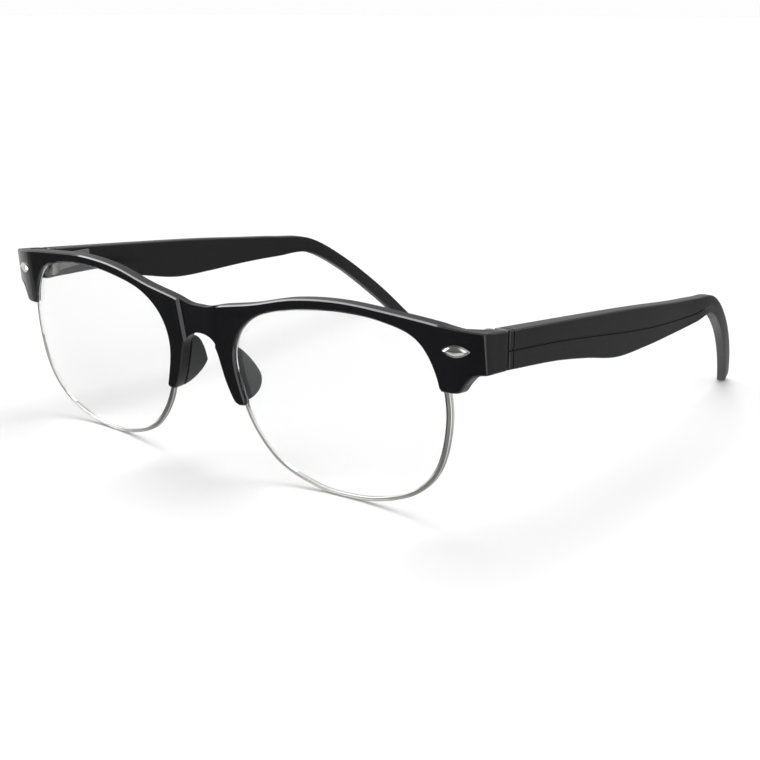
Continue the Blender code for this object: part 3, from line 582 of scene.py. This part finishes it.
def grow_end_piece(bm, side, inner_x, low):
    """Draw the end piece's rear wall back to the upright joint plane in small steps."""
    front, _, _, temples = sizes()
    rear = front.thickness - front.face
    depth = wrap(front.corner) - front.face
    turn, keep = math.sin(LEAN), math.cos(LEAN)
    corner_y = depth * keep - (front.end_top - front.end_height / 2) * turn
    split_y = corner_y + front.end_length
    split_top = depth * turn + front.end_top * keep - 0.6 * MM
    end_high = split_top * keep - split_y * turn
    end_low = (split_top - temples.front_height) * keep - split_y * turn
    outer_x = front.corner + front.end_flare
    faces = [
        f for f in bm.faces
        if all(
            side * v.co.x > inner_x - CLOSE and abs(v.co.y - rear) < CLOSE and v.co.z > low - CLOSE
            for v in f.verts
        )
    ]
    homes = {v: v.co.copy() for f in faces for v in f.verts}
    for reached, narrowing in ((0.15, 0.8), (0.4, 1.0), (0.7, 1.0), (1.0, 1.0)):
        grown = bmesh.ops.extrude_face_region(bm, geom=faces)["geom"]
        bmesh.ops.delete(bm, geom=faces, context="FACES_ONLY")
        faces = [g for g in grown if isinstance(g, bmesh.types.BMFace)]
        next_homes = {}
        for vert in {v for f in faces for v in f.verts}:
            home = homes[min(homes, key=lambda v: (v.co - vert.co).length)]
            next_homes[vert] = home
        for vert, home in next_homes.items():
            reach = side * home.x
            out = (reach - inner_x) / (front.corner - inner_x)
            inner_move = (outer_x - front.end_wall - inner_x) * narrowing
            x = reach + (1 - out) * inner_move + out * front.end_flare * reached
            crest = front.end_top - front.end_sink + 1.05 * MM * (front.corner - reach) / (8 * MM)
            up = (home.z - low) / (max(crest, home.z) - low)
            z = home.z + (end_low + (end_high - end_low) * up - home.z) * reached
            split = (split_y + z * turn) / keep - wrap(x)
            vert.co = Vector((side * x, rear + (split - rear) * reached, z))
        homes = next_homes


def build_front(look):
    """The front: an outline drawn out in depth, with end pieces, chamfers, panel and rim grooves."""
    front, _, _, _ = sizes()
    half = front_outline()
    outline = half + [(-x, z) for x, z in reversed(half[1:-1])]
    bm = bmesh.new()
    face = bm.faces.new([bm.verts.new((x, -front.face, z)) for x, z in outline])
    grown = bmesh.ops.extrude_face_region(bm, geom=[face])["geom"]
    moved = [g for g in grown if isinstance(g, bmesh.types.BMVert)]
    bmesh.ops.translate(bm, vec=(0, front.thickness, 0), verts=moved)
    inner_x = front.corner - 4.8 * MM
    low = front.end_top - front.end_height
    spots = [k * 2.0 * MM for k in range(-32, 33)] + [s * inner_x for s in SIDES]
    for spot in spots:
        everything = bm.verts[:] + bm.edges[:] + bm.faces[:]
        bmesh.ops.bisect_plane(bm, geom=everything, dist=ON_PLANE, plane_co=(spot, 0, 0), plane_no=(1, 0, 0))
    ends = [f for f in bm.faces if abs(f.calc_center_median().x) > inner_x]
    geom = {g for f in ends for g in (*f.verts, *f.edges)} | set(ends)
    bmesh.ops.bisect_plane(bm, geom=list(geom), dist=ON_PLANE, plane_co=(0, 0, low), plane_no=(0, 0, 1))
    for vert in bm.verts:
        if vert.co.y > 0:
            near_end = (abs(vert.co.x) - front.corner + 9 * MM) / (4 * MM)
            vert.co.z -= front.end_sink * min(1.0, max(0.0, near_end))
    for side in SIDES:
        grow_end_piece(bm, side, inner_x, low - front.end_sink)
    bmesh.ops.recalc_face_normals(bm, faces=bm.faces)
    bmesh.ops.remove_doubles(bm, verts=bm.verts, dist=0.1 * MM)
    sharp = [e for e in bm.edges if e.is_manifold and e.calc_face_angle() > math.radians(50)]
    bmesh.ops.bevel(
        bm, geom=sharp, offset=front.edge, offset_type="OFFSET", segments=1,
        affect="EDGES", clamp_overlap=False, material=-1,
    )
    bmesh.ops.triangulate(bm, faces=[f for f in bm.faces if len(f.verts) > 4])
    piece = make_object(bm, "front_moulding", look, place=stand_up)
    cutters = [make_object(panel_cutter(), "panel_cutter", place=stand_up)]
    for side in SIDES:
        cutters.append(make_object(groove_cutter(), "groove_cutter", mirror=side < 0, place=stand_up))
    carve(piece, cutters)
    piece.data.shade_smooth()
    piece.data.set_sharp_from_angle(angle=math.radians(33))
    weights = piece.modifiers.new("Even shading", "WEIGHTED_NORMAL")
    weights.keep_sharp = True
    weights.weight = 80
    apply_modifiers(piece)
    settle(piece, "front", "front_plastic", "front_frame")


def groove_cutter():
    """The groove for the rim wire, open to the rear inside the wire's inner edge."""
    front, rims, _, _ = sizes()
    path = rim_path(8)
    outer = offset_path(path, -rims.wire / 2 - rims.gap)
    edge = offset_path(path, rims.wire / 2)
    inner = offset_path(path, 2.6 * MM)
    half = rims.depth / 2 + rims.gap
    rear = front.thickness + 1 * MM
    bm = bmesh.new()
    loft(bm, [[
        (xo, -half, zo), (xo, half, zo), (xe, half, ze), (xe, rear, ze), (xi, rear, zi), (xi, -half, zi),
    ] for (xo, zo), (xe, ze), (xi, zi) in zip(outer, edge, inner)], closed=True)
    return bm


def panel_cutter():
    """The bridge's sunk panel, with slanted side walls."""
    front, _, _, _ = sizes()
    nose = -front.face - 1.5 * MM
    floor = -front.face + front.panel_depth
    slant = 0.45 * MM
    spread = slant * (floor - nose) / front.panel_depth
    bm = bmesh.new()
    rings = []
    low_half, top_half = front.panel_low - 0.4 * MM, front.panel_top + 0.3 * MM
    for z, half in ((4.0 * MM, low_half), (front.bridge_top + 3.0 * MM, top_half)):
        rings.append([
            (-half + slant, floor, z), (half - slant, floor, z),
            (half - slant + spread, nose, z), (-half + slant - spread, nose, z),
        ])
    loft(bm, rings)
    for k in range(-5, 6):
        everything = bm.verts[:] + bm.edges[:] + bm.faces[:]
        bmesh.ops.bisect_plane(bm, geom=everything, dist=ON_PLANE, plane_co=(k * MM, 0, 0), plane_no=(1, 0, 0))
    return bm


# Rims and lenses

def build_rim(side, look):
    """The rim wire: a drawn profile with rounded outer corners and an open lens channel."""
    _, rims, _, _ = sizes()
    path = rim_path(12)
    half, slot, soft = rims.depth / 2, 0.3 * MM, 0.24 * MM
    shape = []
    for k in range(7):
        turn = math.pi / 2 * k / 6
        shape.append((soft * (1 - math.sin(turn)), half - soft * (1 - math.cos(turn))))
    shape.reverse()
    lip = 0.07 * MM
    profile = [(a, -d) for a, d in reversed(shape)] + [
        (rims.wire - lip, -half), (rims.wire, -half + lip), (rims.wire, -slot),
        (rims.wire - rims.channel, -slot * 0.8), (rims.wire - rims.channel, slot * 0.8),
        (rims.wire, slot), (rims.wire, half - lip), (rims.wire - lip, half),
    ] + shape
    rings = []
    tracks = [offset_path(path, inward - rims.wire / 2) for inward, _ in profile]
    for i in range(len(path)):
        ring = [(track[i][0], depth, track[i][1]) for track, (_, depth) in zip(tracks, profile)]
        rings.append(ring)
    bm = bmesh.new()
    loft(bm, rings, closed=True)
    bmesh.ops.remove_doubles(bm, verts=bm.verts, dist=CLOSE)
    piece = make_object(bm, f"rim_{side_name(side)}", look, mirror=side < 0, sharp=40, place=stand_up)
    settle(piece, "front", "rim_metal", f"rim_wire_{side_name(side)}")


def build_lens(side, look):
    """The clear lens: both faces curved, with a tongue in the rim's channel."""
    _, rims, _, _ = sizes()
    path = rim_path(7)
    middle = rims.spacing / 2
    body = offset_path(path, rims.wire / 2 + rims.gap)
    tongue = offset_path(path, rims.wire / 2 - rims.channel + rims.gap)
    half = rims.lens_edge / 2
    thin = 0.15 * MM
    shares = [1.0, 0.97, 0.93, 0.87, 0.8, 0.72, 0.63, 0.53, 0.42, 0.3, 0.18, 0.07]

    def cover(part, start, bulge):
        depth = start - bulge * (1 - part * part)
        return [(middle + (x - middle) * part, depth, z * part) for x, z in body]

    rings = [cover(part, -half, rims.front_bulge) for part in reversed(shares)]
    for track, depth in ((body, -thin), (tongue, -thin * 0.7), (tongue, thin * 0.7), (body, thin)):
        rings.append([(x, depth, z) for x, z in track])
    rings += [cover(part, half, rims.rear_bulge) for part in shares]
    bm = bmesh.new()
    loft(bm, rings)
    piece = make_object(bm, f"clear_lens_{side_name(side)}", look, mirror=side < 0, place=stand_up)
    piece.visible_shadow = False
    settle(piece, "front", "lens_clear", f"lens_{side_name(side)}")


# Pads and studs

def build_pad(side, look):
    """A nose pad: a thin D-shaped wing with rounded edges."""
    front, _, small, _ = sizes()
    rear = front.thickness - front.face + small.pad_gap
    middle = (small.pad_top - small.pad_bottom) / 2 - small.pad_sag
    rings = []
    steps = 26
    for k in range(steps + 1):
        out = math.sin(math.pi / 2 * k / steps)
        room = math.sqrt(max(1 - out * out, 0.004))
        top = middle + (small.pad_top - middle) * (0.25 + 0.75 * room) * room
        bottom = middle + (-small.pad_bottom - middle) * room
        thick = small.pad_thickness * (0.35 + 0.65 * room)
        ring = []
        for j in range(40):
            turn = 2 * math.pi * j / 40
            up = math.copysign(abs(math.sin(turn)) ** 0.8, math.sin(turn))
            z = (top + bottom) / 2 + (top - bottom) / 2 * up
            nasal = 6.85 * MM - 0.34 * z + 1.2 * MM * out
            x = nasal + thick / 2 + thick / 2 * math.copysign(abs(math.cos(turn)) ** 0.7, math.cos(turn))
            ring.append((x, rear + small.pad_reach * out, z))
        rings.append(ring)
    bm = bmesh.new()
    loft(bm, rings)
    piece = make_object(bm, f"pad_{side_name(side)}", look, mirror=side < 0, sharp=50, place=stand_up)
    settle(piece, "front", "pad_plastic", f"nose_pad_{side_name(side)}")


def build_stud(side, look):
    """An almond stud: a thin rim round two slopes that meet on a level ridge."""
    front, _, small, _ = sizes()
    foot = -front.face - small.pad_gap / 2
    count = 64
    edge = []
    for k in range(count):
        turn = 2 * math.pi * (k + 0.5) / count
        across = math.cos(turn)
        up = math.copysign((1 - abs(across)) * (1 + 0.9 * abs(across)), math.sin(turn))
        edge.append((small.stud_width / 2 * across, small.stud_height / 2 * up))
    centre = (front.corner - small.stud_inset, front.end_top - small.stud_drop)
    rings = []
    levels = ((1.0, 1.0, 0.0), (1.0, 1.0, 0.16), (0.97, 0.93, 0.24), (0.93, 0.85, 0.24), (0.91, 0.80, 0.18),
              (0.89, 0.45, 0.62), (0.86, 0.08, 0.97), (0.82, 0.02, 1.0))
    for wide, tall, rise in levels:
        depth = foot - (small.stud_rise - 0.03 * MM) * rise
        rings.append([(centre[0] + x * wide, depth, centre[1] + z * tall) for x, z in edge])
    bm = bmesh.new()
    loft(bm, rings)
    piece = make_object(bm, f"stud_{side_name(side)}", look, mirror=side < 0, sharp=24, place=stand_up)
    settle(piece, "front", "stud_metal", f"end_stud_{side_name(side)}")


# Temples

def temple_line():
    """Stations along the temple: shares of its length and start height, blade height and groove place."""
    _, _, _, temples = sizes()
    wide, front, tip = temples.wide_height, temples.front_height, temples.tip_height
    line = spline([
        (0.0, 1.0, front, 0.5), (0.13, 0.96, front + 0.2 * MM, 0.51),
        (0.23, 0.918, wide - 1.2 * MM, 0.52), (0.325, 0.872, wide, 0.53),
        (0.42, 0.855, wide - 1.0 * MM, 0.47), (0.525, 0.841, wide - 2.8 * MM, 0.42),
        (0.625, 0.825, tip + 2.1 * MM, 0.40), (0.72, 0.795, tip + 0.5 * MM, 0.45),
        (0.815, 0.60, tip, 0.5), (0.91, 0.31, tip, 0.5), (0.985, 0.03, tip * 0.9, 0.5),
    ], 14)
    spots = [temples.band + k * 0.08 * MM for k in (-2, -1, 1, 2)] + [0.12 * MM, 0.3 * MM]
    for spot in spots:
        at = spot / temples.length
        low = max(i for i, station in enumerate(line) if station[0] <= at)
        a, b = line[low], line[low + 1]
        t = (at - a[0]) / (b[0] - a[0])
        line.insert(low + 1, tuple(p + (q - p) * t for p, q in zip(a, b)))
    return line


def blade_section(thick, tall, mark, sunk, cut):
    """A blade section: rounded corners and a fine groove along the outer face."""
    _, _, _, temples = sizes()
    soft = 0.42 * MM
    half = tall / 2
    groove = temples.groove
    deep = groove * cut
    level = min(half - tall * (1 - mark), half - soft - groove - 0.05 * MM)
    shape = []
    for cx, cz, start in ((-soft, half - soft, 90), (-soft, soft - half, 0),
                          (soft - thick, soft - half, -90), (soft - thick, half - soft, -180)):
        for k in range(6):
            turn = math.radians(start - 18 * k)
            shape.append((cx + soft * math.cos(turn), cz + soft * math.sin(turn)))
        if start == 90:
            shape += [
                (0.0, level + groove), (-deep * 0.6, level + groove * 0.7), (-deep, level + groove * 0.4),
                (-deep, level - groove * 0.4), (-deep * 0.6, level - groove * 0.7), (0.0, level - groove),
            ]
    middle = Vector((-thick / 2, 0))
    return [(Vector(p) - middle) * (1 - sunk) + middle for p in shape]


def build_temple(side, look):
    """A temple: a flat blade with a front band, a groove line, an inward bow and a turned-down tip."""
    _, _, _, temples = sizes()
    line = temple_line()
    start_y = FOLD_AXIS.y - temples.start
    places = [(start_y + s * temples.length, h * FOLD_AXIS.z) for s, h, _, _ in line]
    rings = []
    for i, (along, _, tall, mark) in enumerate(line):
        y, z = places[i]
        (y0, z0), (y1, z1) = places[max(i - 1, 0)], places[min(i + 1, len(places) - 1)]
        run = math.hypot(y1 - y0, z1 - z0)
        up = Vector((0, (z0 - z1) / run, (y1 - y0) / run))
        if along * temples.length < 3 * MM:
            up = Vector((0, 0, 1))
        past = max(0.0, along - 0.41) / 0.59
        outer = temples.outer - temples.taper * along - temples.tip_inset * past ** 2.5
        thick = temples.thickness + (temples.tip_thickness - temples.thickness) * along
        from_band = abs(along * temples.length - temples.band)
        sunk = 0.09 if from_band < 0.12 * MM else 0.0
        if i == 0:
            sunk = 0.05
        cut = 1 - min(1.0, max(0.0, (along - 0.66) / 0.08))
        corner = Vector((outer, y, z))
        shape = blade_section(thick, tall, mark, sunk, cut)
        rings.append([corner + Vector((p.x, 0, 0)) + up * p.y for p in shape])
    last = rings[-1]
    middle = sum(last, Vector()) / len(last)
    ahead = (last[0] - rings[-2][0]).normalized()
    for reach, shrink in ((0.35, 0.97), (0.75, 0.88), (1.15, 0.72), (1.45, 0.5)):
        rings.append([middle + (co - middle) * shrink + ahead * reach * MM for co in last])
    bm = bmesh.new()
    loft(bm, rings)
    everything = bm.verts[:] + bm.edges[:] + bm.faces[:]
    trimmed = bmesh.ops.bisect_plane(
        bm, geom=everything, dist=ON_PLANE, plane_co=(0, 0, 0), plane_no=(0, 0, -1), clear_outer=True
    )["geom_cut"]
    bmesh.ops.contextual_create(bm, geom=[g for g in trimmed if isinstance(g, bmesh.types.BMEdge)])
    name = side_name(side)
    piece = make_object(bm, f"temple_blade_{name}", look, mirror=side < 0, sharp=32)
    settle(piece, f"temple_{name}", "temple_plastic", f"temple_{name}")


# Stage

def build_stage():
    """The floor, the surround, the two lights and the view."""
    staging = bpy.context.scene.glasses_stage
    bm = bmesh.new()
    bmesh.ops.create_grid(bm, x_segments=1, y_segments=1, size=12.0)
    look, tree, shader, place = start_material("pale_floor", 0.9)
    grain = add(tree, "ShaderNodeTexNoise", Scale=30.0, Detail=2.0)
    tree.links.new(place, grain.inputs["Vector"])
    mix = add(tree, "ShaderNodeMix", data_type="RGBA")
    mix.inputs[6].default_value = (*staging.floor, 1)
    mix.inputs[7].default_value = (*(0.99 * value for value in staging.floor), 1)
    tree.links.new(grain.outputs["Fac"], mix.inputs["Factor"])
    tree.links.new(mix.outputs[2], shader.inputs["Base Color"])
    shader.inputs["Specular IOR Level"].default_value = 0.0
    floor = make_object(bm, "pale_floor", look)
    floor.visible_glossy = False
    build_sky(staging.dim)
    soft_sun("overhead_light", (-0.25, 0.45, 1.0), 38, staging.light)
    sheen = soft_sun("edge_sheen", (-0.61, -0.27, 0.74), 40, staging.sheen)
    sheen.visible_diffuse = False
    camera = bpy.data.objects.new("view", bpy.data.cameras.new("view"))
    bpy.context.scene.collection.objects.link(camera)
    camera.data.lens = 63.94
    camera.data.sensor_width = 36.0
    camera.data.clip_start = 0.01
    shift = FRONT_ORIGIN.y
    camera.location = (0.20569, -0.19341 + shift, 0.09602)
    camera.rotation_euler = (math.radians(90 - 15.439), math.radians(-0.098), math.radians(39.526))
    bpy.context.scene.camera = camera
    bpy.context.scene.view_settings.view_transform = "Standard"


def build_sky(dim):
    """A pale surround with three dim screens and a bright one, which the polished black mirrors."""
    world = bpy.data.worlds.new("studio")
    world.use_nodes = True
    bpy.context.scene.world = world
    tree = world.node_tree
    tree.nodes.clear()
    link = tree.links.new
    place = add(tree, "ShaderNodeTexCoord")
    parts = add(tree, "ShaderNodeSeparateXYZ")
    link(place.outputs["Generated"], parts.inputs[0])
    above = add(tree, "ShaderNodeMapRange", interpolation_type="SMOOTHSTEP")
    for key, value in (("From Min", -0.1), ("From Max", 0.35), ("To Min", 0.75), ("To Max", 1.15)):
        above.inputs[key].default_value = value
    link(parts.outputs["Z"], above.inputs["Value"])
    strength = above.outputs["Result"]
    for facing, inner, outer, left in (
        ((-0.35, -0.93, -0.10), 0.72, 0.50, dim), ((0.61, 0.74, -0.27), 0.93, 0.70, dim * 4.5),
        ((-0.40, 0.90, 0.05), 0.84, 0.62, dim * 4.5), ((0.74, -0.61, -0.27), 0.95, 0.88, 3.0),
    ):
        dot = add(tree, "ShaderNodeVectorMath", operation="DOT_PRODUCT")
        link(place.outputs["Generated"], dot.inputs[0])
        dot.inputs[1].default_value = Vector(facing).normalized()
        screen = add(tree, "ShaderNodeMapRange", interpolation_type="SMOOTHSTEP")
        for key, value in (("From Min", outer), ("From Max", inner), ("To Min", 1.0), ("To Max", left)):
            screen.inputs[key].default_value = value
        link(dot.outputs["Value"], screen.inputs["Value"])
        strength = math_node(tree, "MULTIPLY", strength, screen.outputs["Result"])
    seen = add(tree, "ShaderNodeLightPath")
    around = add(tree, "ShaderNodeBackground")
    link(strength, around.inputs["Strength"])
    around.inputs["Color"].default_value = (1, 1, 1, 1)
    plain = add(tree, "ShaderNodeBackground")
    plain.inputs["Color"].default_value = (0.985, 0.985, 0.985, 1)
    mix = add(tree, "ShaderNodeMixShader")
    link(seen.outputs["Is Camera Ray"], mix.inputs[0])
    link(around.outputs[0], mix.inputs[1])
    link(plain.outputs[0], mix.inputs[2])
    end = add(tree, "ShaderNodeOutputWorld")
    link(mix.outputs[0], end.inputs["Surface"])


def soft_sun(name, towards, spread, power):
    """A broad even light from one direction."""
    light = bpy.data.lights.new(name, "SUN")
    light.angle = math.radians(spread)
    light.energy = power
    holder = bpy.data.objects.new(name, light)
    bpy.context.scene.collection.objects.link(holder)
    holder.rotation_euler = Vector(towards).to_track_quat("Z", "Y").to_euler()
    return holder


# Operators

class BuildFront(bpy.types.Operator):
    """Build the black front with its bridge panel and rim grooves."""

    bl_idname = "glasses.front"
    bl_label = "Front"

    def execute(self, context):
        colours = context.scene.glasses_colours
        build_front(plastic("black_front", colours.front, colours.polish, 0.04, 0.30, 0.15, 0.04))
        return {"FINISHED"}


class BuildRims(bpy.types.Operator):
    """Build the two rim wires."""

    bl_idname = "glasses.rims"
    bl_label = "Rim wires"

    def execute(self, context):
        look = metal("silver_rim", context.scene.glasses_colours.rim, 0.36, 0.10, (900.0, 5000.0, 900.0))
        for side in SIDES:
            build_rim(side, look)
        return {"FINISHED"}


class BuildLenses(bpy.types.Operator):
    """Build the two clear lenses."""

    bl_idname = "glasses.lenses"
    bl_label = "Lenses"

    def execute(self, context):
        look = lens_material()
        for side in SIDES:
            build_lens(side, look)
        return {"FINISHED"}


class BuildPads(bpy.types.Operator):
    """Build the two satin nose pads."""

    bl_idname = "glasses.pads"
    bl_label = "Nose pads"

    def execute(self, context):
        colours = context.scene.glasses_colours
        look = plastic("satin_pad", colours.pad, colours.satin, 0.12, 0.15, 0.5, 0.08)
        for side in SIDES:
            build_pad(side, look)
        return {"FINISHED"}


class BuildStuds(bpy.types.Operator):
    """Build the two almond studs."""

    bl_idname = "glasses.studs"
    bl_label = "End studs"

    def execute(self, context):
        look = metal("bright_stud", context.scene.glasses_colours.stud, 0.18, 0.08, (500.0, 5000.0, 6000.0))
        for side in SIDES:
            build_stud(side, look)
        return {"FINISHED"}


class BuildTemples(bpy.types.Operator):
    """Build the two temples."""

    bl_idname = "glasses.temples"
    bl_label = "Temples"

    def execute(self, context):
        colours = context.scene.glasses_colours
        look = plastic("black_temple", colours.front, colours.polish * 1.2, 0.05, 0.35, 0.15, 0.04)
        for side in SIDES:
            build_temple(side, look)
        return {"FINISHED"}


class FinishHinges(bpy.types.Operator):
    """Give the hinge leaves, screws and rivets their steel finish."""

    bl_idname = "glasses.hinges"
    bl_label = "Hinges"

    def execute(self, context):
        look = metal("hinge_steel", context.scene.glasses_colours.hinge, 0.28, 0.16, (800.0, 6000.0, 800.0))
        for name, node in frame["nodes"].items():
            if name.startswith(("hinge_", "leaf_rivet")):
                node.data.materials.clear()
                node.data.materials.append(look)
        return {"FINISHED"}


class BuildStage(bpy.types.Operator):
    """Set out the pale floor, the soft light and the view."""

    bl_idname = "glasses.stage"
    bl_label = "Stage"

    def execute(self, context):
        build_stage()
        return {"FINISHED"}


class GlassesPanel(bpy.types.Panel):
    """Sizes, colours and build steps of the eyeglasses."""

    bl_idname = "VIEW3D_PT_glasses"
    bl_label = "Half Rim Eyeglasses"
    bl_space_type = "VIEW_3D"
    bl_region_type = "UI"
    bl_category = "Eyeglasses"

    def draw(self, context):
        for attribute in SETTINGS:
            box = self.layout.box()
            settings = getattr(context.scene, attribute)
            for key in settings.__annotations__:
                box.prop(settings, key)
        for step in STEPS:
            self.layout.operator(step.bl_idname)


SETTINGS = {
    "glasses_front": FrontSizes,
    "glasses_rims": RimSizes,
    "glasses_temples": TempleSizes,
    "glasses_small": SmallSizes,
    "glasses_colours": Colours,
    "glasses_stage": Staging,
}
STEPS = (BuildFront, BuildRims, BuildLenses, BuildPads, BuildStuds, BuildTemples, FinishHinges, BuildStage)


def register():
    """Register the settings, the build steps and the panel."""
    for group in SETTINGS.values():
        bpy.utils.register_class(group)
    for attribute, group in SETTINGS.items():
        setattr(bpy.types.Scene, attribute, PointerProperty(type=group))
    for step in STEPS:
        bpy.utils.register_class(step)
    bpy.utils.register_class(GlassesPanel)


def unregister():
    """Take back everything that was registered."""
    bpy.utils.unregister_class(GlassesPanel)
    for step in reversed(STEPS):
        bpy.utils.unregister_class(step)
    for attribute in SETTINGS:
        delattr(bpy.types.Scene, attribute)
    for group in reversed(list(SETTINGS.values())):
        bpy.utils.unregister_class(group)


def main():
    """Build every piece and the stage."""
    register()
    bpy.ops.glasses.front()
    bpy.ops.glasses.rims()
    bpy.ops.glasses.lenses()
    bpy.ops.glasses.pads()
    bpy.ops.glasses.studs()
    bpy.ops.glasses.temples()
    bpy.ops.glasses.hinges()
    bpy.ops.glasses.stage()


if __name__ == "__main__":
    main()
